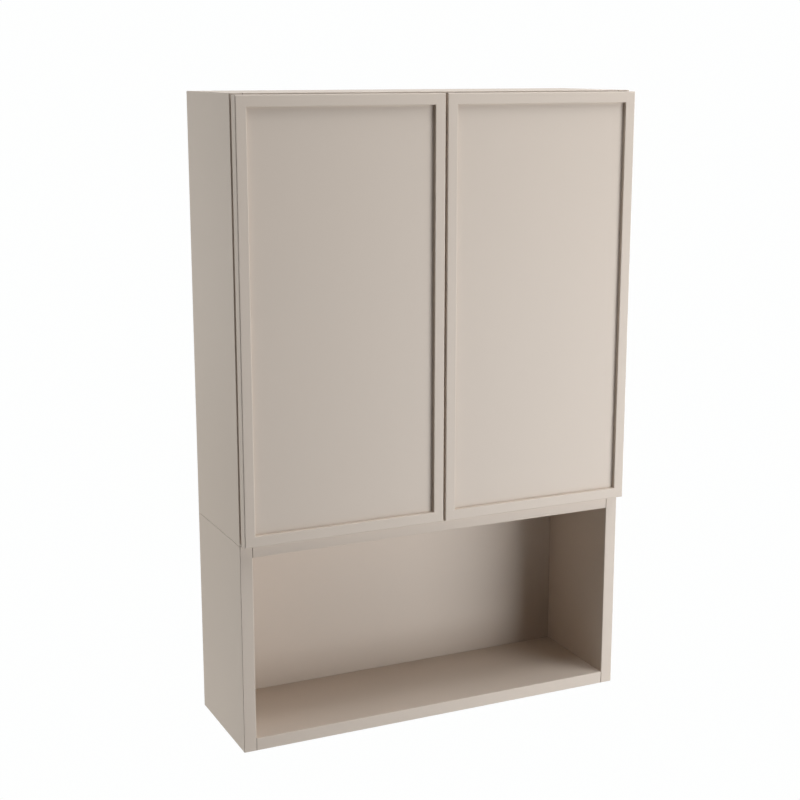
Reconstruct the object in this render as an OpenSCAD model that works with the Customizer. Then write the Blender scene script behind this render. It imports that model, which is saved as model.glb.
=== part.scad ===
// Wall-hung bathroom cabinet: a two-door upper unit above an open-shelf unit.
// X runs to the right, Y runs back to the wall plane at y = 0, Z runs up.
// The origin is the centre of the four wall screws of the upper unit.

/* [Cabinet] */
// Overall width of both units
cabinet_w = 610; // [520:1:760]
// Height of the upper unit, behind the doors
upper_h = 610; // [520:1:760]
// Height of the open-shelf unit
lower_h = 305; // [240:1:400]
// Depth of the two boxes, without the doors
carcass_d = 182; // [170:1:260]

/* [Boards] */
// Thickness of the sides, tops, bottoms and shelf
board_t = 18.5; // [17:0.5:20]
// Thickness of the back panels
back_t = 5; // [4:0.5:6]
// Depth of the grooves that hold the back panels
groove_depth = 8; // [5:0.5:9]
// Rounding of the boards' visible edges
board_ease = 1; // [0.6:0.1:1.2]
// Thickness of the hanging rails behind the back panels
rail_t = 12; // [10:0.5:15]
// Height of the hanging rails
rail_h = 80; // [60:1:100]
// Depth of the adjustable shelf, front to back
shelf_d = 140; // [110:1:145]
// Side play of the adjustable shelf
shelf_play = 1; // [0.5:0.1:2]

/* [Wall screws] */
// Distance between the screws along a rail, to suit studs 16 inches apart
stud_pitch = 406.4; // [300:0.1:420]
// Diameter of the wall screw holes
wall_hole_d = 5.5; // [4:0.1:7]

/* [Doors] */
// Thickness of the door frame
door_t = 16; // [15:0.5:19]
// Width of the stiles and rails
frame_w = 15.5; // [15:0.5:17]
// Thickness of the flat door panel
door_panel_t = 5; // [4:0.1:5.5]
// Depth of the groove that holds the panel
door_groove_depth = 6; // [5:0.1:6]
// Rounding of the outer edges of the door's face
door_ease = 1.6; // [1:0.1:2]
// Rounding of the inner edges of the door frame
frame_ease = 1; // [0.5:0.1:1.4]
// Rounding of the door's back edges
door_back_ease = 1; // [0.9:0.1:1.2]
// Space between the boxes and the closed doors, for the push latches
door_gap = 2; // [1.8:0.1:3]
// Distance from the cabinet's side to the door's edge
side_reveal = 1.5; // [1:0.1:2]
// Distance from the cabinet's top to the door's edge
top_reveal = 2; // [1:0.1:4]
// Distance from the upper unit's bottom to the door's edge
bottom_reveal = 2; // [1:0.1:4]
// Gap between the two doors
centre_gap = 3; // [2:0.1:5]
// Length of the tongues that join the rails to the stiles
tongue_len = 8; // [5:0.5:9]
// Thickness of the tongues
tongue_t = 5; // [4:0.5:6]

/* [Hinges] */
// Distance from a door's end to the middle of its hinge
hinge_inset = 90; // [70:1:150]
// Distance from the door's outer edge to the hinge pin
pin_inset = 5; // [5:0.1:5.4]
// Distance from the door's back to the hinge pin
pin_depth = 6.2; // [6:0.1:6.4]
// Diameter of the hinge pin
hinge_pin_d = 2.6; // [2.2:0.1:2.8]
// Radial running clearance of the arm on its pin
pin_play = 0.05; // [0.03:0.01:0.1]
// Radius of the arm's eye
eye_r = 2.4; // [2.1:0.1:2.5]
// Thickness of the hinge arm's steel
arm_t = 2; // [1.6:0.1:2.1]
// Height of the hinge arm at its eye
arm_h = 12; // [8:0.5:16]
// Straight run of the arm beside its eye
arm_reach = 6; // [5.8:0.1:6.3]
// Distance of the arm's far end behind the cabinet's front
arm_back = 60; // [56:1:70]
// Thickness of the hinge bracket's steel
bracket_t = 1.2; // [1:0.1:1.4]
// Thickness of the mounting plate
plate_t = 1.8; // [1.5:0.1:2]
// Distance of the mounting screws behind the cabinet's front
plate_setback = 37; // [34:1:40]
// Distance between the two screws of a mounting plate
plate_pitch = 32; // [28:1:40]

/* [Shelf pins] */
// Diameter of the shelf pin holes
shelf_hole_d = 5; // [4:0.1:6]
// Distance between the shelf pin holes
shelf_hole_pitch = 32; // [25:1:40]
// Number of shelf pin holes in a row
shelf_holes = 9; // [5:2:9]
// Distance of the front row behind the cabinet's front
shelf_row_front = 48; // [40:1:60]
// Distance of the rear row in front of the wall
shelf_row_back = 50; // [45:1:60]

/* [Joint fittings] */
// Diameter of the cam locks
cam_d = 15; // [12:0.5:16]
// Height of the cam locks
cam_h = 12.5; // [11:0.5:13.5]
// Distance from the board's end to the middle of its cam
cam_reach = 24; // [22:1:34]
// Distance of the front cams behind the cabinet's front
cam_setback = 37; // [30:1:45]
// Distance of the rear cams in front of the wall
cam_wall_dist = 45; // [40:1:50]
// Distance from a cam to its dowel, towards the board's middle
dowel_pitch = 24; // [20:1:26]
// Diameter of the dowels
dowel_d = 8; // [6:0.5:8]
// Length of a dowel
dowel_len = 30; // [24:1:34]
// Diameter of the sleeves that join the two units
sleeve_d = 8; // [7:0.5:9]
// Distance from the cabinet's side to the sleeves
sleeve_inset = 120; // [80:1:160]

/* [Push latches] */
// Width of a latch housing
latch_w = 12; // [11:0.5:12.5]
// Height of a latch housing
latch_h = 14; // [12:0.5:18]
// Length of a latch housing
latch_len = 72; // [68:1:90]
// Diameter of the latch plunger
plunger_d = 7; // [5:0.5:7.5]
// Travel of the latch plunger
plunger_travel = 14; // [8:1:20]
// Diameter of the strike plate on the door
strike_d = 11; // [10:0.5:12]

/* [Hidden] */
$fn = 48;
fit = 0.1;
running_fit = 0.05;
half_w = cabinet_w / 2;
inner_half = half_w - board_t;
front_y = -carcass_d;
back_front_y = -rail_t - back_t;
upper_z0 = -upper_h / 2;
upper_z1 = upper_h / 2;
lower_z0 = upper_z0 - lower_h;
shelf_z = 0;
door_back_y = front_y - door_gap;
door_front_y = door_back_y - door_t;
door_z0 = upper_z0 + bottom_reveal;
door_z1 = upper_z1 - top_reveal;
door_h = door_z1 - door_z0;
panel_front_y = door_front_y + (door_t - door_panel_t) / 2;
door_x0 = -half_w + side_reveal;
door_x1 = -centre_gap / 2;
door_w = door_x1 - door_x0;
hinge_zs = [door_z0 + hinge_inset, door_z1 - hinge_inset];
rail_top_z = upper_z1 - board_t - rail_h / 2;
rail_mid_z = upper_z0 + board_t + rail_h / 2;
rail_low_z = upper_z0 - board_t - rail_h / 2;

// Hinge sizes, measured inwards from the cabinet's side and back from its front.
pin_u = side_reveal + pin_inset;
pin_v = -door_gap - pin_depth;
arm_bend_u = pin_u + arm_reach;
arm_u = board_t + plate_t + arm_t / 2;
arm_bend_v = pin_v + arm_u - arm_bend_u;
tongue_shoulder = 3;
tongue_wall = 1;
tongue_h = frame_w - door_groove_depth - tongue_wall - tongue_shoulder;
pocket_wall = 1.7;
bracket_inset = 1.2;
pocket_u = side_reveal + pocket_wall;
bracket_inner_u = side_reveal + frame_w - bracket_inset;
pocket_h = arm_h + 2 * bracket_t + 4 * fit;
bracket_front = pin_v - eye_r - 3 * fit - bracket_t;
bracket_w = frame_w - door_groove_depth - pocket_wall - 0.6;
bracket_tab = 13;
bracket_screw_z = pocket_h / 2 + bracket_tab / 2;
wood_screw_d = 3;
wood_screw_head_d = 5.6;
wood_screw_len = 12;
wood_screw_shank_d = 2.4;
wood_pilot_d = 2.5;
relief_u = side_reveal + frame_w - 0.3;
channel_h = 16;
channel_flange = 5;
channel_start = 8;
plate_w = 20;
plate_wing = 12;
plate_edge = 9;
plate_screw_d = 5;
plate_screw_len = 12;
plate_screw_head_d = 9;
arm_screw_d = 4;
arm_screw_head_d = 7;
arm_screw_offset = 9;
adjuster_v = plate_setback - arm_screw_offset;
clamp_v = plate_setback + arm_screw_offset;

// Fitting sizes.
cam_bolt_d = 7;
cam_bolt_head_d = 6;
cam_sink = 0.4;
cam_neck_d = 4;
cam_stud_d = 5;
cam_stud_len = 11;
cam_ys = [front_y + cam_setback, -cam_wall_dist];
dowel_ys = [cam_ys[0] + dowel_pitch, cam_ys[1] - dowel_pitch];
rail_dowel_d = 6;
rail_dowel_len = 24;
sleeve_head_d = 14;
sleeve_head_h = 2;
sleeve_bolt_d = sleeve_d - 2.5;
sleeve_gap = 1;
sleeve_slot = [8, 1.4, 1];
sleeve_bolt_gap = 5;
sleeve_len = 2 * board_t - sleeve_gap;
sleeve_ys = [front_y + cam_setback, -cam_wall_dist];
shelf_row_ys = [front_y + shelf_row_front, -shelf_row_back];
shelf_pin_depth = 9;
shelf_pin_pad = 8;
shelf_pin_pad_t = 2.5;
shelf_pin_wall_t = 1.5;
strike_t = 1.2;
latch_x = centre_gap / 2 + latch_w / 2 + 0.5;
latch_z = upper_z1 - board_t - latch_h / 2;
latch_front_y = front_y + 1;
latch_ear = 10;
latch_ear_t = 4;
latch_ear_len = 12;
latch_ear_setback = 6;
latch_tail = 14;
latch_corner_r = 2.5;
latch_screw_d = 3;
latch_screw_head_d = 5.7;
latch_screw_head_h = 1.6;
latch_screw_len = 14;
latch_end_wall = 7;
latch_spring_len = 5;
latch_bore_len = latch_len - latch_tail - latch_end_wall;
plunger_len = latch_bore_len - latch_spring_len;
plunger_tip_y = door_back_y + strike_t + 3 * fit;
magnet_d = plunger_d - 1.5;
magnet_t = 3;

paint = [0.72, 0.67, 0.62];
raw_board = [0.78, 0.68, 0.54];
steel = [0.72, 0.73, 0.75];
plastic = [0.62, 0.62, 0.6];

// Rectangle with chosen corners rounded, in the order of its corners from the origin.
module eased_rect(size, r, corners) {
    middle = size / 2;
    difference() {
        square(size);
        for (i = [0:3]) {
            if (corners[i] == 1) {
                sx = (i == 0 || i == 3) ? -1 : 1;
                sy = (i < 2) ? -1 : 1;
                translate(middle + [sx * (middle[0] - r), sy * (middle[1] - r)])
                        difference() {
                            translate([sx > 0 ? 0 : -r - 1, sy > 0 ? 0 : -r - 1]) square(r + 1);
                            circle(r);
                        }
            }
        }
    }
}

// Board whose front edges are rounded, with its front face towards -Y.
// The end edges along Y are rounded at the outer side when outer is true.
module board(low, high, r = board_ease, outer = false) {
    size = high - low;
    translate(low) intersection() {
        linear_extrude(size[2]) eased_rect([size[0], size[1]], r, [1, 1, 0, 0]);
        rotate([90, 0, 90]) linear_extrude(size[0])
            eased_rect([size[1], size[2]], r, [1, 0, 0, 1]);
        if (outer) {
            translate([0, size[1], 0]) rotate([90, 0, 0]) linear_extrude(size[1])
                eased_rect([size[0], size[2]], r, [1, 0, 0, 1]);
        }
    }
}

module block(low, high) {
    translate(low) cube(high - low);
}

// Copies its children at both ends of the cabinet.
module both_sides() {
    children();
    mirror([1, 0, 0]) children();
}

// Cylinder along X that starts at x and runs inwards.
module rod_x(x, y, z, d, len) {
    translate([x, y, z]) rotate([0, 90, 0]) cylinder(d = d, h = len);
}

// Holes for the cam bolts and dowels that a horizontal board needs in the left side.
module side_joint_holes(z) {
    for (y = cam_ys) rod_x(-inner_half - cam_stud_len, y, z, cam_stud_d, cam_stud_len + 1);
    for (y = dowel_ys) rod_x(-inner_half - dowel_len / 3, y, z, dowel_d, dowel_len / 3 + 1);
}

// Pockets for the cams and dowels in a horizontal board; up is 1 for pockets in its top.
module board_joint_holes(z, up) {
    both_sides() {
        for (y = cam_ys) {
            translate([-inner_half + cam_reach, y, z]) mirror([0, 0, up > 0 ? 0 : 1])
                translate([0, 0, board_t / 2 - cam_sink - cam_h]) cylinder(d = cam_d, h = cam_h + 1);
            rod_x(-inner_half - 1, y, z, cam_bolt_d + 1, cam_reach);
        }
        for (y = dowel_ys) rod_x(-inner_half - 1, y, z, dowel_d, dowel_len * 2 / 3 + 1);
    }
}

// Left side board of a unit; the groove holds the back panel and its ends are stopped.
module side_board(z0, z1) {
    back_low = z0 + board_t - groove_depth;
    back_high = z1 - board_t + groove_depth;
    difference() {
        board([-half_w, front_y, z0], [-inner_half, 0, z1], outer = true);
        block([-inner_half - groove_depth, back_front_y, back_low],
            [-inner_half + 1, -rail_t, back_high]);
        side_joint_holes(z0 + board_t / 2);
        side_joint_holes(z1 - board_t / 2);
    }
}

// Holes for two dowels at the end of a hanging rail.
module rail_dowel_holes(z, side_len) {
    for (dz = [-rail_h / 4, rail_h / 4])
        rod_x(-inner_half - side_len, -rail_t / 2, z + dz, rail_dowel_d, rail_dowel_len + fit);
}

module upper_side() {
    difference() {
        side_board(upper_z0, upper_z1);
        rail_dowel_holes(rail_top_z, rail_dowel_len / 2);
        rail_dowel_holes(rail_mid_z, rail_dowel_len / 2);
        for (y = shelf_row_ys) for (i = [0:shelf_holes - 1])
            rod_x(-inner_half - shelf_pin_depth - 1, y,
                shelf_z + (i - (shelf_holes - 1) / 2) * shelf_hole_pitch,
                shelf_hole_d, shelf_pin_depth + 2);
        for (z = hinge_zs) for (dz = [-plate_pitch / 2, plate_pitch / 2])
            rod_x(-inner_half - plate_screw_len, front_y + plate_setback, z + dz,
                plate_screw_d, plate_screw_len + 1);
    }
}

module upper_left_side() {
    color(paint) upper_side();
}

module upper_right_side() {
    color(paint) mirror([1, 0, 0]) upper_side();
}

// Top or bottom board of a unit, grooved on the face that looks at the back panel.
module cross_board(z0, groove_up, cams_up) {
    z_mid = z0 + board_t / 2;
    groove_z = groove_up ? z0 + board_t - groove_depth : z0 - 1;
    difference() {
        board([-inner_half, front_y, z0], [inner_half, 0, z0 + board_t]);
        block([-inner_half - 1, back_front_y, groove_z],
            [inner_half + 1, -rail_t, groove_z + groove_depth + 1]);
        board_joint_holes(z_mid, cams_up ? 1 : -1);
    }
}

// Vertical holes for the four sleeves that join the units.
module sleeve_holes(z0) {
    both_sides() for (y = sleeve_ys)
        translate([-half_w + sleeve_inset, y, z0 - 1])
            cylinder(d = sleeve_d + 2 * fit, h = board_t + 2);
}

// Pilot holes for the latch screws, in the underside of the top board.
module latch_pilots() {
    both_sides() for (p = latch_screw_points())
        translate([p[0], p[1], upper_z1 - board_t - 1])
            cylinder(d = latch_screw_d - 2 * fit, h = latch_screw_len - latch_ear_t + 1);
}

module upper_top() {
    color(paint) difference() {
        cross_board(upper_z1 - board_t, false, false);
        latch_pilots();
    }
}

module upper_bottom() {
    color(paint) difference() {
        cross_board(upper_z0, true, false);
        sleeve_holes(upper_z0);
    }
}

module lower_top() {
    z0 = upper_z0 - board_t;
    color(paint) difference() {
        cross_board(z0, false, true);
        sleeve_holes(z0);
    }
}

module lower_bottom() {
    color(paint) cross_board(lower_z0, true, false);
}

module lower_side() {
    difference() {
        side_board(lower_z0, upper_z0);
        rail_dowel_holes(rail_low_z, rail_dowel_len / 2);
    }
}

module lower_left_side() {
    color(paint) lower_side();
}

module lower_right_side() {
    color(paint) mirror([1, 0, 0]) lower_side();
}

// Holes for the two wall screws of a hanging rail, through whatever stands at this height.
module wall_holes(z) {
    for (x = [-stud_pitch / 2, stud_pitch / 2])
        translate([x, 1, z]) rotate([90, 0, 0])
            cylinder(d = wall_hole_d, h = rail_t + back_t + 2);
}

module back_panel(z0, z1) {
    block([-inner_half - groove_depth, back_front_y, z0 + board_t - groove_depth],
        [inner_half + groove_depth, -rail_t, z1 - board_t + groove_depth]);
}

module upper_back() {
    color(paint) difference() {
        back_panel(upper_z0, upper_z1);
        wall_holes(rail_top_z);
        wall_holes(rail_mid_z);
    }
}

module lower_back() {
    color(paint) difference() {
        back_panel(lower_z0, upper_z0);
        wall_holes(rail_low_z);
    }
}

module hanging_rail(z) {
    color(raw_board) difference() {
        block([-inner_half, -rail_t, z - rail_h / 2], [inner_half, 0, z + rail_h / 2]);
        wall_holes(z);
        both_sides() rail_dowel_holes(z, rail_dowel_len / 2);
    }
}

module top_hanging_rail() {
    hanging_rail(rail_top_z);
}

module middle_hanging_rail() {
    hanging_rail(rail_mid_z);
}

module lower_hanging_rail() {
    hanging_rail(rail_low_z);
}

module shelf() {
    shelf_back = back_front_y - shelf_play;
    color(paint) board([-inner_half + shelf_play, shelf_back - shelf_d, shelf_z + shelf_hole_d / 2],
        [inner_half - shelf_play, shelf_back, shelf_z + shelf_hole_d / 2 + board_t]);
}

// Pin with a pad under the shelf and a cheek against the side.
module shelf_pin(y) {
    pad_top = shelf_z + shelf_hole_d / 2;
    rod_x(-inner_half - shelf_pin_depth, y, shelf_z, shelf_hole_d - 2 * running_fit,
        shelf_pin_depth + shelf_play);
    block([-inner_half, y - shelf_pin_pad / 2, pad_top - shelf_pin_pad],
        [-inner_half + shelf_pin_wall_t, y + shelf_pin_pad / 2, pad_top]);
    block([-inner_half, y - shelf_pin_pad / 2, pad_top - shelf_pin_pad_t],
        [-inner_half + shelf_play + shelf_pin_pad, y + shelf_pin_pad / 2, pad_top]);
}

module shelf_pins() {
    color(steel) both_sides() for (y = shelf_row_ys) shelf_pin(y);
}

// The four boards that cams hold: height of each board's middle, and where its cams open.
cam_boards = [
    [upper_z1 - board_t / 2, -1], [upper_z0 + board_t / 2, -1],
    [upper_z0 - board_t / 2, 1], [lower_z0 + board_t / 2, -1]
];

// Cam with a side mouth for the bolt's head and a crossed slot for the screwdriver.
module cam_lock() {
    slot = [cam_d * 0.55, 1.4, 2];
    top = board_t / 2 - cam_sink;
    difference() {
        translate([0, 0, top - cam_h]) cylinder(d = cam_d - 2 * fit, h = cam_h);
        rotate([0, -90, 0]) translate([0, 0, -cam_bolt_head_d / 2])
            cylinder(d = cam_bolt_head_d + 4 * fit, h = cam_d);
        for (a = [45, 135]) rotate(a)
            translate([-slot[0] / 2, -slot[1] / 2, top - slot[2]]) cube([slot[0], slot[1], slot[2] + 1]);
    }
}

module cam_locks() {
    color(steel) both_sides() for (b = cam_boards) for (y = cam_ys)
        translate([-inner_half + cam_reach, y, b[0]])
            mirror([0, 0, b[1] > 0 ? 0 : 1]) cam_lock();
}

// Bolt screwed into the side, with a collar at the joint and a head inside the cam.
module cam_bolt() {
    collar = 3;
    head = 2.5;
    rod_x(-cam_stud_len, 0, 0, cam_stud_d - 2 * running_fit, cam_stud_len + 0.5);
    rod_x(0, 0, 0, cam_bolt_d, collar);
    rod_x(collar - 0.5, 0, 0, cam_neck_d, cam_reach - collar);
    rod_x(cam_reach - head, 0, 0, cam_bolt_head_d, head);
}

module cam_bolts() {
    color(steel) both_sides() for (b = cam_boards) for (y = cam_ys)
        translate([-inner_half, y, b[0]]) cam_bolt();
}

module dowels() {
    color(raw_board) both_sides() for (b = cam_boards) for (y = dowel_ys)
        rod_x(-inner_half - dowel_len / 3, y, b[0], dowel_d - 2 * running_fit, dowel_len);
}

module rail_dowels() {
    color(raw_board) both_sides() for (z = [rail_top_z, rail_mid_z, rail_low_z])
        for (dz = [-rail_h / 4, rail_h / 4])
            rod_x(-inner_half - rail_dowel_len / 2, -rail_t / 2, z + dz,
                rail_dowel_d - 2 * running_fit, rail_dowel_len);
}

// Sleeve nut dropped through the upper floor, with its low head inside the cupboard.
module connector_sleeves() {
    top = upper_z0 + board_t;
    color(steel) both_sides() for (y = sleeve_ys)
        translate([-half_w + sleeve_inset, y, top]) difference() {
            union() {
                cylinder(d = sleeve_head_d, h = sleeve_head_h);
                translate([0, 0, -sleeve_len]) cylinder(d = sleeve_d, h = sleeve_len + 0.5);
            }
            translate([0, 0, -sleeve_len - 1])
                cylinder(d = sleeve_bolt_d + 2 * running_fit, h = sleeve_len - 2);
            translate([-sleeve_slot[0] / 2, -sleeve_slot[1] / 2, sleeve_head_h - sleeve_slot[2]])
                cube(sleeve_slot + [0, 0, 1]);
        }
}

// Bolt driven up into the sleeve, with its head on the open shelf unit's ceiling.
module connector_bolts() {
    bottom = upper_z0 - board_t;
    color(steel) both_sides() for (y = sleeve_ys)
        translate([-half_w + sleeve_inset, y, bottom]) difference() {
            union() {
                translate([0, 0, -sleeve_head_h]) cylinder(d = sleeve_head_d, h = sleeve_head_h);
                translate([0, 0, -0.5]) cylinder(d = sleeve_bolt_d, h = sleeve_len - sleeve_bolt_gap);
            }
            translate([-sleeve_slot[0] / 2, -sleeve_slot[1] / 2, -sleeve_head_h - 1])
                cube(sleeve_slot + [0, 0, 1]);
        }
}

// The closed left door as one blank, with its outer edges rounded at the face and the back.
module door_blank() {
    low = [door_x0, door_front_y, door_z0];
    high = [door_x1, door_back_y, door_z1];
    intersection() {
        board(low, high, door_ease);
        translate([0, low[1] + high[1], 0]) mirror([0, 1, 0]) board(low, high, door_back_ease);
    }
}

// The frame's window: its edges flare at the face, which rounds the frame's inner edges.
module door_window() {
    w = door_w - 2 * frame_w;
    h = door_h - 2 * frame_w;
    translate([door_x0 + frame_w, door_front_y, door_z0 + frame_w]) intersection() {
        translate([0, 0, -frame_w / 2]) linear_extrude(h + frame_w) window_profile(w);
        translate([-frame_w / 2, 0, 0]) rotate([90, 0, 90]) linear_extrude(w + frame_w)
            mirror([1, -1]) window_profile(h);
    }
}

// Section across the window: straight walls that open out along a quarter round.
module window_profile(w) {
    translate([0, -1]) square([w, door_t + 2]);
    for (m = [0, 1]) translate([m * w, 0]) mirror([m, 0]) difference() {
        translate([-frame_ease, -1]) square([frame_ease + 1, frame_ease + 1]);
        translate([-frame_ease, frame_ease]) circle(frame_ease);
    }
}

// The panel with its edges in the frame's groove, midway between the door's face and back.
module panel_space() {
    inset = frame_w - door_groove_depth;
    block([door_x0 + inset, panel_front_y, door_z0 + inset],
        [door_x1 - inset, panel_front_y + door_panel_t, door_z1 - inset]);
}

// Bar inside a rail that stands out as a tongue at both ends; the stiles are cut by it.
module rail_tongues(z) {
    y0 = door_front_y + (door_t - tongue_t) / 2;
    z0 = z + (z == door_z0 ? tongue_shoulder : door_groove_depth + tongue_wall);
    block([door_x0 + frame_w - tongue_len, y0, z0],
        [door_x1 - frame_w + tongue_len, y0 + tongue_t, z0 + tongue_h]);
}

// Frame without its window and groove, between two heights or two edges.
module frame_piece(low, high) {
    difference() {
        intersection() {
            door_blank();
            block(low, high);
        }
        door_window();
        panel_space();
    }
}

module door_stile(x0, x1) {
    difference() {
        frame_piece([x0, door_front_y, door_z0], [x1, door_back_y, door_z1]);
        for (z = [door_z0, door_z1 - frame_w]) rail_tongues(z);
    }
}

module door_rail(z) {
    frame_piece([door_x0 + frame_w, door_front_y, z], [door_x1 - frame_w, door_back_y, z + frame_w]);
    rail_tongues(z);
}

// Moves its children to each hinge, with X inwards and Y back from the cabinet's front edge.
module at_hinges() {
    for (z = hinge_zs) translate([-half_w, front_y, z]) children();
}

// Pocket in the stile's back for a hinge bracket, open towards the panel for the arm, with the
// seats of the bracket's two tabs.
module bracket_pocket() {
    translate([pocket_u, bracket_front - fit, -pocket_h / 2])
        cube([side_reveal + frame_w + 1 - pocket_u, -door_gap - bracket_front + fit + 1, pocket_h]);
    tab_h = pocket_h / 2 + bracket_tab;
    translate([pocket_u, -door_gap - bracket_t, -tab_h])
        cube([bracket_w, bracket_t + 1, 2 * tab_h]);
    for (s = [-1, 1]) translate([pocket_u + bracket_w / 2, -door_gap, s * bracket_screw_z])
        rotate([90, 0, 0]) cylinder(d = wood_pilot_d, h = wood_screw_len + 1);
}

// Notch in the panel's edge beside a bracket; the frame's face covers it.
module arm_relief() {
    translate([pocket_u, -door_gap - door_t, -pocket_h / 2])
        cube([relief_u - pocket_u, door_t, pocket_h]);
}

module outer_stile() {
    difference() {
        door_stile(door_x0, door_x0 + frame_w);
        at_hinges() bracket_pocket();
    }
}

module inner_stile() {
    difference() {
        door_stile(door_x1 - frame_w, door_x1);
        translate([-latch_x, door_back_y + 1, latch_z]) rotate([90, 0, 0])
            cylinder(d = wood_pilot_d, h = wood_screw_len - strike_t + 2);
    }
}

module door_panel() {
    difference() {
        panel_space();
        at_hinges() arm_relief();
    }
}

// Steel disc that the latch's magnet holds.
module strike_plate() {
    translate([-latch_x, door_back_y, latch_z]) rotate([-90, 0, 0]) difference() {
        cylinder(d = strike_d, h = strike_t);
        translate([0, 0, -1]) cylinder(d = wood_screw_d + 2 * fit, h = strike_t + 2);
        translate([0, 0, strike_t - 0.9])
            cylinder(d1 = wood_screw_d + 2 * fit, d2 = wood_screw_head_d - 0.6, h = 0.91);
    }
}

// Countersunk wood screw, with its head's top at the origin and its point along -Z.
module wood_screw(head_d, head_h) {
    difference() {
        union() {
            translate([0, 0, -head_h]) cylinder(d1 = wood_screw_shank_d, d2 = head_d, h = head_h);
            translate([0, 0, -wood_screw_len])
                cylinder(d = wood_screw_shank_d, h = wood_screw_len - head_h / 2);
        }
        for (a = [0, 90]) rotate(a) translate([-1.2, -0.3, -0.7]) cube([2.4, 0.6, 1]);
    }
}

module strike_screw() {
    translate([-latch_x, door_back_y + strike_t, latch_z]) rotate([-90, 0, 0])
        wood_screw(wood_screw_head_d - 1, 0.8);
}

// Bracket bent from one strip: a web, two cheeks that hold the pin, and two tabs.
module hinge_bracket() {
    cheek = pocket_h / 2 - fit;
    u0 = pocket_u + fit;
    u1 = bracket_inner_u - fit;
    difference() {
        union() {
            translate([u0, bracket_front, -cheek]) cube([u1 - u0, bracket_t, 2 * cheek]);
            for (s = [-1, 1]) {
                translate([u0, bracket_front, s > 0 ? cheek - bracket_t : -cheek])
                    cube([u1 - u0, -door_gap - bracket_front, bracket_t]);
                translate([pocket_u, -door_gap - bracket_t, s > 0 ? cheek - bracket_t : -cheek - bracket_tab + fit])
                    cube([bracket_w, bracket_t, bracket_tab + bracket_t - fit]);
            }
        }
        translate([pin_u, pin_v, -cheek - 1]) cylinder(d = hinge_pin_d, h = 2 * cheek + 2);
        for (s = [-1, 1]) translate([pocket_u + bracket_w / 2, -door_gap, s * bracket_screw_z])
            rotate([90, 0, 0]) {
                translate([0, 0, -1]) cylinder(d = wood_screw_d + 2 * fit, h = bracket_t + 2);
                translate([0, 0, -0.01])
                    cylinder(d1 = wood_screw_head_d, d2 = wood_screw_d + 2 * fit, h = bracket_t);
            }
    }
}

module hinge_pin() {
    pin_len = arm_h + 2 * bracket_t + 2 * fit;
    translate([pin_u, pin_v, -pin_len / 2]) cylinder(d = hinge_pin_d, h = pin_len);
}

module bracket_screws() {
    for (s = [-1, 1]) translate([pocket_u + bracket_w / 2, -door_gap - fit, s * bracket_screw_z])
        rotate([-90, 0, 0]) wood_screw(wood_screw_head_d - 4 * fit, bracket_t - fit);
}

// Strip of the arm's steel, seen from above, between two points.
module arm_strip(p, q) {
    run = q - p;
    translate(p) rotate(atan2(run[1], run[0])) translate([0, -arm_t / 2]) square([norm(run), arm_t]);
    translate(q) circle(d = arm_t);
}

// The arm's hook, seen from above: it leaves the eye sideways and clears the side board.
module arm_hook() {
    difference() {
        union() {
            translate([pin_u, pin_v]) circle(eye_r);
            arm_strip([pin_u, pin_v], [arm_bend_u, pin_v]);
            arm_strip([arm_bend_u, pin_v], [arm_u, arm_bend_v]);
            arm_strip([arm_u, arm_bend_v], [arm_u, channel_start + arm_t]);
        }
        translate([pin_u, pin_v]) circle(hinge_pin_d / 2 + pin_play);
    }
}

// Hooked arm on a channel that is clamped to the mounting plate.
module hinge_arm() {
    web_u = arm_u - arm_t / 2;
    difference() {
        union() {
            translate([0, 0, -arm_h / 2]) linear_extrude(arm_h) arm_hook();
            translate([web_u, channel_start, -channel_h / 2])
                cube([arm_t, arm_back - channel_start, channel_h]);
            for (s = [-1, 1])
                translate([web_u, channel_start, s > 0 ? channel_h / 2 - arm_t : -channel_h / 2])
                    cube([arm_t + channel_flange, arm_back - channel_start, arm_t]);
        }
        for (v = [adjuster_v, clamp_v]) rod_x(web_u - 1, v, 0, arm_screw_d + 2 * fit, arm_t + 2);
    }
}

// Mounting plate: a pad under the arm and two wings for the screws into the side.
module mounting_plate() {
    wing = plate_pitch / 2 + plate_edge;
    rear_v = clamp_v + plate_edge;
    front_v = adjuster_v - plate_edge;
    difference() {
        translate([board_t, 0, 0]) rotate([90, 0, 90]) linear_extrude(plate_t) union() {
            translate([front_v, -plate_w / 2]) square([rear_v - front_v, plate_w]);
            translate([plate_setback - plate_wing / 2, -wing + plate_wing / 2])
                square([plate_wing, 2 * wing - plate_wing]);
            for (s = [-1, 1]) translate([plate_setback, s * (wing - plate_wing / 2)]) circle(d = plate_wing);
        }
        for (s = [-1, 1])
            rod_x(board_t - 1, plate_setback, s * plate_pitch / 2, plate_screw_d + 2 * fit, plate_t + 2);
        for (v = [adjuster_v, clamp_v]) rod_x(board_t - 1, v, 0, arm_screw_d, plate_t + 2);
    }
}

module plate_screws() {
    for (s = [-1, 1]) difference() {
        union() {
            rod_x(board_t - plate_screw_len + 1, plate_setback, s * plate_pitch / 2,
                plate_screw_d - 2 * running_fit, plate_screw_len + plate_t - 0.5);
            rod_x(board_t + plate_t, plate_setback, s * plate_pitch / 2, plate_screw_head_d, 1.8);
        }
        for (a = [0, 90]) translate([board_t + plate_t + 0.9, plate_setback, s * plate_pitch / 2])
            rotate([a, 0, 0]) translate([0, -2, -0.5]) cube([2, 4, 1]);
    }
}

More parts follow.
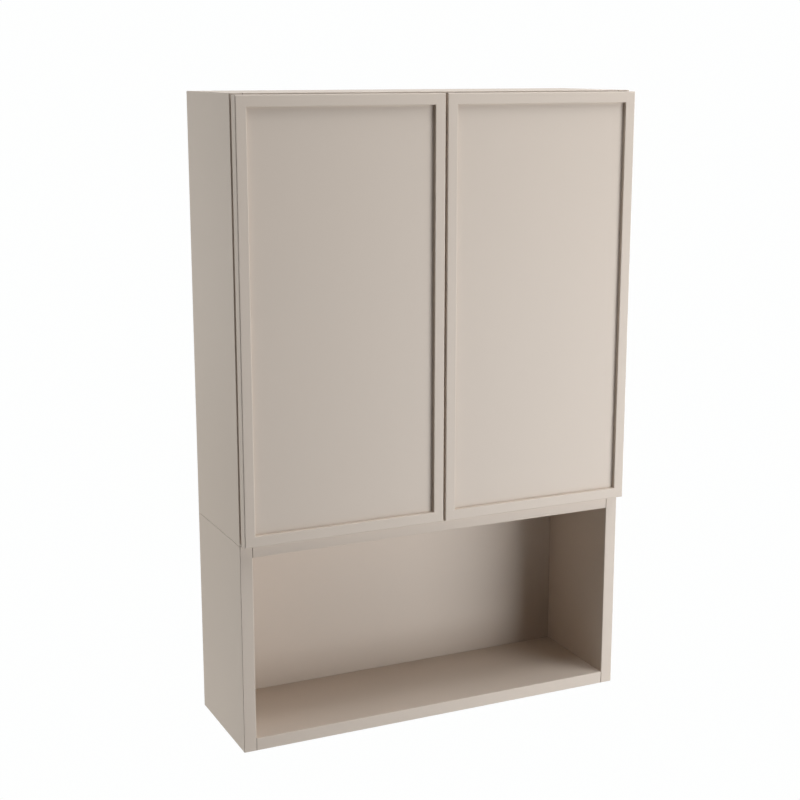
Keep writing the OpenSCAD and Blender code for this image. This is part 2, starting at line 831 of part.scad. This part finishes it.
// Side adjuster and clamping screw of the arm.
module arm_screws() {
    head_u = board_t + plate_t + arm_t;
    for (v = [adjuster_v, clamp_v]) difference() {
        union() {
            rod_x(board_t + fit, v, 0, arm_screw_d - 2 * running_fit, head_u - board_t + 1);
            rod_x(head_u, v, 0, arm_screw_head_d, 2.2);
        }
        for (a = [0, 90]) translate([head_u + 1.2, v, 0]) rotate([a, 0, 0])
            translate([0, -1.7, -0.4]) cube([2, 3.4, 0.8]);
    }
}

// The left latch's two screws: one in a front ear, one in the tail.
function latch_screw_points() = [
    [-latch_x - (latch_w + latch_ear) / 2, latch_front_y + latch_ear_setback + latch_ear_len / 2],
    [-latch_x, latch_front_y + latch_len - latch_tail / 2]
];

// Housing of the left latch: a body with a blind bore, a tail and a side ear.
module latch_housing() {
    body_len = latch_len - latch_tail;
    top = latch_z + latch_h / 2;
    difference() {
        union() {
            translate([-latch_x, latch_front_y + body_len, latch_z]) rotate([90, 0, 0])
                linear_extrude(body_len) translate([-latch_w / 2, -latch_h / 2])
                    eased_rect([latch_w, latch_h], latch_corner_r, [1, 1, 0, 0]);
            translate([-latch_x - latch_w / 2, latch_front_y + body_len - 1, top - latch_ear_t])
                cube([latch_w, latch_tail + 1, latch_ear_t]);
            translate([-latch_x - latch_w / 2 - latch_ear, latch_front_y + latch_ear_setback,
                top - latch_ear_t])
                cube([latch_ear + 1, latch_ear_len, latch_ear_t]);
        }
        translate([-latch_x, latch_front_y - 1, latch_z]) rotate([-90, 0, 0])
            cylinder(d = plunger_d + 2 * running_fit, h = latch_bore_len + 1);
        for (p = latch_screw_points()) translate([p[0], p[1], top - latch_ear_t - 1])
            cylinder(d = latch_screw_d + 2 * fit, h = latch_ear_t + 2);
    }
}

module latch_housings() {
    color(plastic) both_sides() latch_housing();
}

module latch_screws() {
    seat = latch_z + latch_h / 2 - latch_ear_t;
    color(steel) both_sides() for (p = latch_screw_points()) translate([p[0], p[1], seat]) difference() {
        union() {
            translate([0, 0, -latch_screw_head_h])
                cylinder(d = latch_screw_head_d, h = latch_screw_head_h);
            translate([0, 0, -0.5]) cylinder(d = latch_screw_d - 4 * fit, h = latch_screw_len);
        }
        for (a = [0, 90]) rotate(a) translate([-1.3, -0.35, -latch_screw_head_h - 1])
            cube([2.6, 0.7, 1.8]);
    }
}

module latch_plunger() {
    translate([-latch_x, plunger_tip_y, latch_z]) rotate([-90, 0, 0]) difference() {
        cylinder(d = plunger_d, h = plunger_len);
        translate([0, 0, -1]) cylinder(d = magnet_d, h = magnet_t + 1);
    }
}

module latch_magnet() {
    translate([-latch_x, plunger_tip_y, latch_z]) rotate([-90, 0, 0])
        cylinder(d = magnet_d - 2 * running_fit, h = magnet_t);
}

module left_door_outer_stile() { color(paint) outer_stile(); }
module left_door_inner_stile() { color(paint) inner_stile(); }
module left_door_top_rail() { color(paint) door_rail(door_z1 - frame_w); }
module left_door_bottom_rail() { color(paint) door_rail(door_z0); }
module left_door_panel() { color(paint) door_panel(); }
module left_strike_plate() { color(steel) strike_plate(); }
module left_strike_screw() { color(steel) strike_screw(); }
module left_hinge_brackets() { color(steel) at_hinges() hinge_bracket(); }
module left_hinge_pins() { color(steel) at_hinges() hinge_pin(); }
module left_bracket_screws() { color(steel) at_hinges() bracket_screws(); }
module left_hinge_arms() { color(steel) at_hinges() hinge_arm(); }
module left_mounting_plates() { color(steel) at_hinges() mounting_plate(); }
module left_plate_screws() { color(steel) at_hinges() plate_screws(); }
module left_arm_screws() { color(steel) at_hinges() arm_screws(); }
module left_latch_plunger() { color(plastic) latch_plunger(); }
module left_latch_magnet() { color(steel) latch_magnet(); }

// The right door and its fittings mirror the left ones.
module right_hand() { mirror([1, 0, 0]) children(); }
module right_door_outer_stile() { right_hand() left_door_outer_stile(); }
module right_door_inner_stile() { right_hand() left_door_inner_stile(); }
module right_door_top_rail() { right_hand() left_door_top_rail(); }
module right_door_bottom_rail() { right_hand() left_door_bottom_rail(); }
module right_door_panel() { right_hand() left_door_panel(); }
module right_strike_plate() { right_hand() left_strike_plate(); }
module right_strike_screw() { right_hand() left_strike_screw(); }
module right_hinge_brackets() { right_hand() left_hinge_brackets(); }
module right_hinge_pins() { right_hand() left_hinge_pins(); }
module right_bracket_screws() { right_hand() left_bracket_screws(); }
module right_hinge_arms() { right_hand() left_hinge_arms(); }
module right_mounting_plates() { right_hand() left_mounting_plates(); }
module right_plate_screws() { right_hand() left_plate_screws(); }
module right_arm_screws() { right_hand() left_arm_screws(); }
module right_latch_plunger() { right_hand() left_latch_plunger(); }
module right_latch_magnet() { right_hand() left_latch_magnet(); }

upper_left_side();
upper_right_side();
upper_top();
upper_bottom();
upper_back();
top_hanging_rail();
middle_hanging_rail();
shelf();
shelf_pins();
lower_left_side();
lower_right_side();
lower_top();
lower_bottom();
lower_back();
lower_hanging_rail();
cam_locks();
cam_bolts();
dowels();
rail_dowels();
connector_sleeves();
connector_bolts();
latch_housings();
latch_screws();
left_door_outer_stile();
left_door_inner_stile();
left_door_top_rail();
left_door_bottom_rail();
left_door_panel();
left_strike_plate();
left_strike_screw();
left_hinge_brackets();
left_hinge_pins();
left_bracket_screws();
left_hinge_arms();
left_mounting_plates();
left_plate_screws();
left_arm_screws();
left_latch_plunger();
left_latch_magnet();
right_door_outer_stile();
right_door_inner_stile();
right_door_top_rail();
right_door_bottom_rail();
right_door_panel();
right_strike_plate();
right_strike_screw();
right_hinge_brackets();
right_hinge_pins();
right_bracket_screws();
right_hinge_arms();
right_mounting_plates();
right_plate_screws();
right_arm_screws();
right_latch_plunger();
right_latch_magnet();
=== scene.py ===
"""Looks of the wall-hung bathroom cabinet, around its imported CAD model."""
import math

import bpy
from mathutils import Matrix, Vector


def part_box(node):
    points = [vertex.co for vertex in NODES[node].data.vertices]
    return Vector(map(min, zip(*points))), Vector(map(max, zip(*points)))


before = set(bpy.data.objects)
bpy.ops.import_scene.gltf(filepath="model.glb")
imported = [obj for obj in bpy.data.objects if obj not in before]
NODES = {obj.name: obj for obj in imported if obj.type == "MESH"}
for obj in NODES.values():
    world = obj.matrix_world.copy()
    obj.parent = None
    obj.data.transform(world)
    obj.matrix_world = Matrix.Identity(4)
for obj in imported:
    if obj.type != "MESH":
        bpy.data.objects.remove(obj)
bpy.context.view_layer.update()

MM = 0.001


# Camera

camera_data = bpy.data.cameras.new("camera")
camera_data.sensor_width = 36.0
camera_data.lens = 68.25
camera = bpy.data.objects.new("camera", camera_data)
bpy.context.scene.collection.objects.link(camera)
camera.location = (-0.9471, -2.0748, 0.3396)
camera.rotation_euler = (math.radians(90 - 12.442), 0.0, math.radians(-25.0528))
bpy.context.scene.camera = camera


# Shader graph helpers

class Value:
    """A shader socket that takes part in sums, products and the like."""

    def __init__(self, graph, socket):
        self.graph = graph
        self.socket = socket

    def _math(self, operation, a, b=None):
        inputs = {0: a} if b is None else {0: a, 1: b}
        return self.graph.node("ShaderNodeMath", {"operation": operation}, inputs)

    def __add__(self, other):
        return self._math("ADD", self, other)

    def __radd__(self, other):
        return self._math("ADD", other, self)

    def __sub__(self, other):
        return self._math("SUBTRACT", self, other)

    def __rsub__(self, other):
        return self._math("SUBTRACT", other, self)

    def __mul__(self, other):
        return self._math("MULTIPLY", self, other)

    def __rmul__(self, other):
        return self._math("MULTIPLY", other, self)

    def __truediv__(self, other):
        return self._math("DIVIDE", self, other)

    def __rtruediv__(self, other):
        return self._math("DIVIDE", other, self)

    def __gt__(self, other):
        return self._math("GREATER_THAN", self, other)

    def __lt__(self, other):
        return self._math("LESS_THAN", self, other)

    def min(self, other):
        return self._math("MINIMUM", self, other)

    def max(self, other):
        return self._math("MAXIMUM", self, other)

    def sin(self):
        return self._math("SINE", self)


class Graph:
    """The node tree of one material or world."""

    def __init__(self, name, kept_in=bpy.data.materials):
        self.owner = kept_in.new(name)
        self.owner.use_nodes = True
        self.tree = self.owner.node_tree
        self.tree.nodes.clear()

    def node(self, kind, settings=None, inputs=None, output=0):
        """Any node but the plain maths; returns one of its outputs."""
        made = self.tree.nodes.new(kind)
        for key, value in (settings or {}).items():
            if key == "stops":
                ramp = made.color_ramp
                while len(ramp.elements) < len(value):
                    ramp.elements.new(0.5)
                for element, (place, colour) in zip(ramp.elements, value):
                    element.position = place
                    element.color = colour
            else:
                setattr(made, key, value)
        for key, value in (inputs or {}).items():
            if isinstance(value, Value):
                self.tree.links.new(value.socket, made.inputs[key])
            else:
                made.inputs[key].default_value = value
        return Value(self, made.outputs[output]) if len(made.outputs) else None

    def place(self):
        return self.node("ShaderNodeTexCoord", output="Object")

    def axes(self, vector):
        split = self.node("ShaderNodeSeparateXYZ", None, {0: vector})
        return [Value(self, output) for output in split.socket.node.outputs]

    def stretched(self, vector, scale):
        return self.node("ShaderNodeMapping", None, {"Vector": vector, "Scale": scale})

    def noise(self, vector, scale, detail=2.0, roughness=0.5):
        return self.node("ShaderNodeTexNoise", {"noise_dimensions": "3D"},
                         {"Vector": vector, "Scale": scale, "Detail": detail, "Roughness": roughness})

    def mix(self, factor, a, b):
        return self.node("ShaderNodeMix", {"data_type": "RGBA"}, {0: factor, 6: a, 7: b}, output=2)

    def ramp(self, factor, stops):
        return self.node("ShaderNodeValToRGB", {"stops": stops}, {0: factor})

    def bump(self, height, strength, distance):
        return self.node("ShaderNodeBump", None,
                         {"Height": height, "Strength": strength, "Distance": distance})

    def surface(self, **inputs):
        names = {"colour": "Base Color", "roughness": "Roughness", "metal": "Metallic", "normal": "Normal",
                 "specular": "Specular IOR Level"}
        shader = self.node("ShaderNodeBsdfPrincipled", None, {names[k]: v for k, v in inputs.items()})
        self.node("ShaderNodeOutputMaterial", None, {"Surface": shader})
        return self.owner


# Finishes

PAINT = (0.596, 0.502, 0.420, 1.0)
PAINT_WARM = (0.606, 0.506, 0.420, 1.0)
CORE_LIGHT = (0.470, 0.345, 0.225, 1.0)
CORE_DARK = (0.330, 0.225, 0.135, 1.0)
PINE_DARK = (0.62, 0.45, 0.27, 1.0)
PINE_MIDDLE = (0.74, 0.58, 0.38, 1.0)
PINE_LIGHT = (0.80, 0.66, 0.46, 1.0)
NICKEL_DARK = (0.60, 0.59, 0.57, 1.0)
NICKEL_LIGHT = (0.70, 0.69, 0.67, 1.0)
PLASTIC_DARK = (0.30, 0.29, 0.275, 1.0)
PLASTIC_LIGHT = (0.34, 0.33, 0.315, 1.0)
# Colour of the dark joint line and of the painted shade in board joints and V-grooves.
JOINT_LINE_AND_PAINTED_SHADE = (0.150, 0.112, 0.084, 1.0)
EASE_DEPTH = 0.9 * MM
BOARDS = ["upper_left_side", "upper_right_side", "upper_top", "upper_bottom", "upper_back",
          "lower_left_side", "lower_right_side", "lower_top", "lower_bottom", "lower_back"]
RAW_BACKS = ("upper_back", "lower_back")
# Strength and reach of the dark joint line and painted shade; the groove reach widens the painted shade
# across the V-groove between eased front edges.
JOINT_LINE_AND_SHADE_STRENGTH = 0.7
SEAM_REACH = 0.3 * MM
PAINTED_GROOVE_SHADE_REACH = 0.5 * MM
BOARD_EASE = 1.0 * MM
TOUCH = 0.05 * MM


def inside(along, low, high, depth):
    """1 where a point lies deeper than depth inside a board's own box, as in its holes and grooves."""
    reach = None
    for place, a, b in zip(along, low, high):
        edge = (place - a).min(b - place)
        reach = edge if reach is None else reach.min(edge)
    return reach > depth


def fibreboard(graph, point):
    """Raw fibreboard: fine pressed fibres with a few darker flecks."""
    fibres = graph.noise(point, 2600.0, 3.0, 0.7)
    cloud = graph.noise(point, 90.0)
    return graph.ramp(fibres * 0.7 + cloud * 0.3, [(0.30, CORE_DARK), (0.68, CORE_LIGHT)])


def joints(name):
    """Boxes in which a board's own box meets those of its neighbours."""
    low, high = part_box(name)
    for other in BOARDS:
        other_low, other_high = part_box(other)
        shared_low = [max(pair) for pair in zip(low, other_low)]
        shared_high = [min(pair) for pair in zip(high, other_high)]
        if other != name and all(b - a > -TOUCH for a, b in zip(shared_low, shared_high)):
            yield shared_low, shared_high


def seam_line_and_painted_shade(along, name):
    """1 on the hairline where a board meets its neighbours, fading to 0 beside it: a dark joint line with
    painted shade over it.

    In the groove between two eased front edges the painted shade is as wide as the groove.
    """
    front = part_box("upper_top")[0][1]
    reach = (1 - (along[1] - front) / BOARD_EASE).max(0.0) * PAINTED_GROOVE_SHADE_REACH + SEAM_REACH
    line = None
    for low, high in joints(name):
        away = None
        for place, a, b in zip(along, low, high):
            outside = (a - place).max(place - b)
            away = outside if away is None else away.max(outside)
        near = (1 - away / reach).max(0.0).min(1.0)
        line = near if line is None else line.max(near)
    return line


def painted_board(name):
    """Sprayed satin paint over fibreboard, left bare in holes, grooves and hidden backs; the boards also get
    a dark joint line with painted shade along their joints.
    """
    graph = Graph("paint_" + name)
    point = graph.place()
    along = graph.axes(point)
    low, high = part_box(name)
    paint = graph.mix(graph.noise(point, 5.0), PAINT, PAINT_WARM)
    if name in BOARDS:
        # Painted shade along board joints and across their V-grooves, over a dark joint line.
        paint = graph.mix(seam_line_and_painted_shade(along, name) * JOINT_LINE_AND_SHADE_STRENGTH, paint, JOINT_LINE_AND_PAINTED_SHADE)
    bare = inside(along, low, high, EASE_DEPTH)
    if name in RAW_BACKS:
        bare = bare.max(along[1] > high[1] - TOUCH)
    spray = graph.noise(point, 420.0, 3.0, 0.55)
    fine = graph.noise(point, 1500.0)
    height = spray * 0.7 + fine * 0.3
    colour = graph.mix(bare, paint, fibreboard(graph, point))
    roughness = (0.42 + spray * 0.10) * (1 - bare) + bare * 0.85
    return graph.surface(colour=colour, roughness=roughness, specular=0.27,
                         normal=graph.bump(height, 0.12, 0.4 * MM))


def bare_pine(name):
    """Planed softwood with its grain along the cabinet's width."""
    graph = Graph("pine_" + name)
    point = graph.place()
    grain = graph.stretched(point, (9.0, 150.0, 150.0))
    wave = graph.noise(grain, 1.0, 4.0, 0.6)
    rings = (graph.noise(grain, 0.35, 1.0) * 34.0).sin() * 0.5 + 0.5
    pores = graph.noise(graph.stretched(point, (81.0, 1350.0, 1350.0)), 1.0, 2.0, 0.7)
    tone = wave * 0.45 + rings * 0.35 + pores * 0.2
    colour = graph.ramp(tone, [(0.25, PINE_DARK), (0.55, PINE_MIDDLE), (0.8, PINE_LIGHT)])
    return graph.surface(colour=colour, roughness=0.55 + pores * 0.2, specular=0.4,
                         normal=graph.bump(tone, 0.25, 0.2 * MM))


def plated_steel(name, squeeze):
    """Nickel-plated steel with faint rolling lines, closest along the axis with the largest squeeze."""
    graph = Graph("steel_" + name)
    point = graph.place()
    lines = graph.noise(graph.stretched(point, squeeze), 4.0, 3.0, 0.6)
    cloud = graph.noise(point, 160.0)
    colour = graph.mix(cloud, NICKEL_DARK, NICKEL_LIGHT)
    return graph.surface(colour=colour, metal=1.0, roughness=0.24 + lines * 0.18 + cloud * 0.06,
                         normal=graph.bump(lines, 0.08, 0.05 * MM))


def grey_plastic(name):
    """Moulded plastic with a fine spark texture."""
    graph = Graph("plastic_" + name)
    point = graph.place()
    spark = graph.noise(point, 3200.0, 2.0, 0.6)
    cloud = graph.noise(point, 60.0, 1.0)
    colour = graph.mix(cloud, PLASTIC_DARK, PLASTIC_LIGHT)
    return graph.surface(colour=colour, roughness=0.48 + spark * 0.14, specular=0.5,
                         normal=graph.bump(spark, 0.2, 0.06 * MM))


def dress(node, material):
    """Gives a CAD piece its one material."""
    slots = NODES[node].data.materials
    slots.clear()
    slots.append(material)


PINE_PIECES = ("top_hanging_rail", "middle_hanging_rail", "lower_hanging_rail", "dowels", "rail_dowels")
PAINTED = BOARDS + ["shelf"]
for side in ("left", "right"):
    PAINTED += [f"{side}_door_{piece}" for piece in
                ("outer_stile", "inner_stile", "top_rail", "bottom_rail", "panel")]
for node in PAINTED:
    dress(node, painted_board(node))

pine = bare_pine("rails")
for node in PINE_PIECES:
    dress(node, pine)

steel = plated_steel("fittings", (60.0, 60.0, 900.0))
hinge_steel = plated_steel("hinges", (900.0, 60.0, 60.0))
plastic = grey_plastic("latches")
for node in NODES:
    if node in PAINTED or node in PINE_PIECES:
        continue
    if "latch_housing" in node or "plunger" in node:
        dress(node, plastic)
    elif "hinge" in node or "mounting" in node or "arm" in node:
        dress(node, hinge_steel)
    else:
        dress(node, steel)


# Studio

MIDDLE = Vector((0.0, -0.1, -0.15))
WORLD_STRENGTH = 0.02
PURE_WHITE = (1.0, 1.0, 1.0, 1.0)
BACKDROP = (0.99, 0.995, 0.993, 1.0)
FLOOR_DARK = (0.80, 0.80, 0.80, 1.0)
FLOOR_LIGHT = (0.84, 0.84, 0.84, 1.0)
LAMP_COLOUR = (0.914, 0.957, 1.0)
LEFT_COLOUR = (0.925, 0.952, 0.955)


def lit_white(name):
    """White to the camera and in reflections, and only a faint even fill to everything else."""
    graph = Graph(name, bpy.data.worlds)
    camera_sees = graph.node("ShaderNodeLightPath", output="Is Camera Ray")
    mirror_sees = graph.node("ShaderNodeLightPath", output="Is Glossy Ray")
    plain = graph.node("ShaderNodeBackground", None, {"Color": PURE_WHITE, "Strength": WORLD_STRENGTH})
    white = graph.node("ShaderNodeBackground", None, {"Color": BACKDROP, "Strength": 1.0})
    mixed = graph.node("ShaderNodeMixShader", None, {0: camera_sees.max(mirror_sees), 1: plain, 2: white})
    graph.node("ShaderNodeOutputWorld", None, {"Surface": mixed})
    bpy.context.scene.world = graph.owner


def softbox(name, turn, lift, distance, size, power, colour):
    """Soft lamp aimed at the cabinet: turn counts from straight ahead of it to its right, lift from level."""
    lamp_data = bpy.data.lights.new(name, "AREA")
    lamp_data.shape = "RECTANGLE"
    lamp_data.size, lamp_data.size_y = size
    lamp_data.energy = power
    lamp_data.color = colour
    lamp = bpy.data.objects.new(name, lamp_data)
    bpy.context.scene.collection.objects.link(lamp)
    turn, lift = math.radians(turn), math.radians(lift)
    out = Vector((math.cos(lift) * math.sin(turn), -math.cos(lift) * math.cos(turn), math.sin(lift)))
    lamp.location = MIDDLE + out * distance
    lamp.rotation_euler = (-out).to_track_quat("-Z", "Y").to_euler()


def studio_floor(name, height, width):
    """Plain pale floor that the camera sees as the white of the backdrop."""
    bpy.ops.object.select_all(action="DESELECT")
    bpy.ops.mesh.primitive_plane_add(size=width, location=(0.0, 0.0, height))
    floor = bpy.context.object
    floor.name = name
    graph = Graph("floor_paint")
    tone = graph.mix(graph.noise(graph.place(), 40.0), FLOOR_DARK, FLOOR_LIGHT)
    plain = graph.node("ShaderNodeBsdfDiffuse", None, {"Color": tone})
    white = graph.node("ShaderNodeEmission", None, {"Color": BACKDROP, "Strength": 1.0})
    camera_sees = graph.node("ShaderNodeLightPath", output="Is Camera Ray")
    mixed = graph.node("ShaderNodeMixShader", None, {0: camera_sees, 1: plain, 2: white})
    graph.node("ShaderNodeOutputMaterial", None, {"Surface": mixed})
    floor.data.materials.append(graph.owner)


lit_white("studio")
softbox("key_light", 40, -11, 2.14, (1.4, 1.3), 38.7, LAMP_COLOUR)
softbox("front_top_light", 50, 50, 2.0, (0.75, 0.75), 13.8, LAMP_COLOUR)
softbox("top_light", 0, 80, 2.4, (1.0, 1.0), 29.3, LAMP_COLOUR)
softbox("left_rear_light", -122, -7, 2.4, (1.1, 2.0), 34.4, LEFT_COLOUR)
softbox("right_rear_light", 125, 5, 2.4, (1.4, 1.4), 20.9, LAMP_COLOUR)
studio_floor("studio_floor", -1.5, 12.0)
bpy.context.scene.view_settings.view_transform = "Standard"
